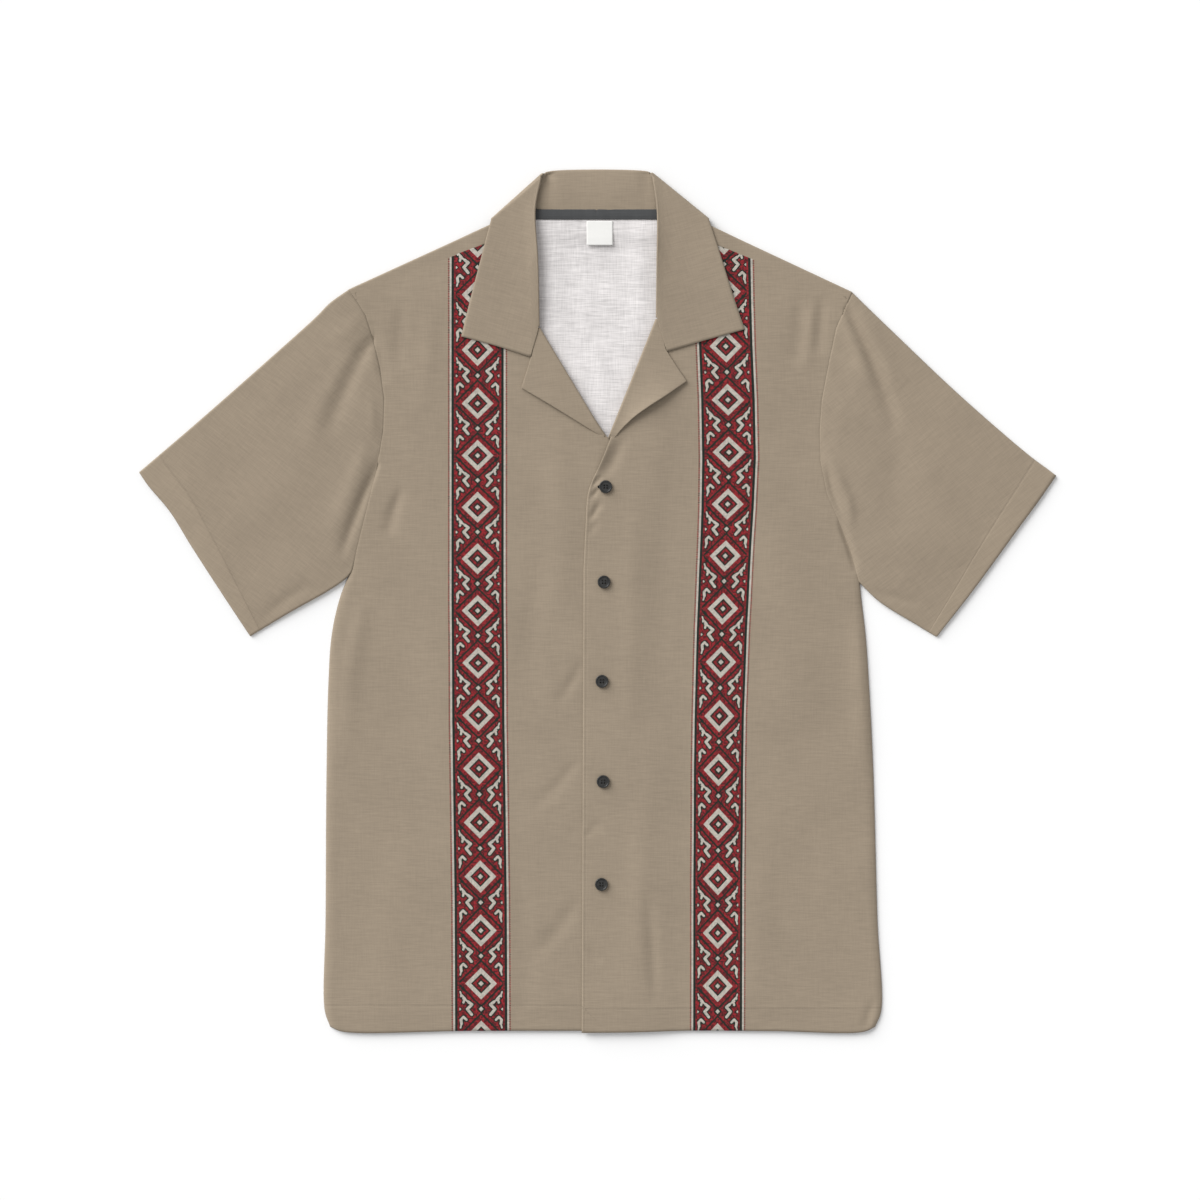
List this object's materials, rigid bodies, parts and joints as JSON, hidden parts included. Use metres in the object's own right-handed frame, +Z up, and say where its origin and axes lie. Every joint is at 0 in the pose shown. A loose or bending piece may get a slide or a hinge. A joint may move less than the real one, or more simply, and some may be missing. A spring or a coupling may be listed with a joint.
{
  "type": "camp shirt",
  "caption": "Short-sleeved camp shirt with a notched collar, buttoned and laid flat on its back, with a printed band down each front.",
  "frame": {"origin": "middle of the shirt's box, on the surface it lies on", "axes": "+X toward the wearer's left, +Y toward the collar, +Z up from the surface, out of the fronts"},
  "size_m": [0.8338, 0.7847, 0.0138],
  "materials": {
    "shirt_cloth": "beige woven cotton, matt",
    "printed_cloth": "beige woven cotton with a printed geometric band, matt",
    "tape_cloth": "dark grey woven tape",
    "label_cloth": "white satin label, bare",
    "button_plastic": "dark grey polished resin with four holes"
  },
  "bodies": {
    "root": {"back": "shirt_cloth", "shoulder_right": "shirt_cloth", "shoulder_left": "shirt_cloth", "front_right": "printed_cloth", "front_left": "printed_cloth", "sleeve_right": "shirt_cloth", "sleeve_left": "shirt_cloth", "collar": "shirt_cloth", "lapel_right": "shirt_cloth", "lapel_left": "shirt_cloth", "neck_tape": "tape_cloth", "care_label": "label_cloth", "button_1": "button_plastic", "button_2": "button_plastic", "button_3": "button_plastic", "button_4": "button_plastic", "button_5": "button_plastic"}
  },
  "joints": []
}
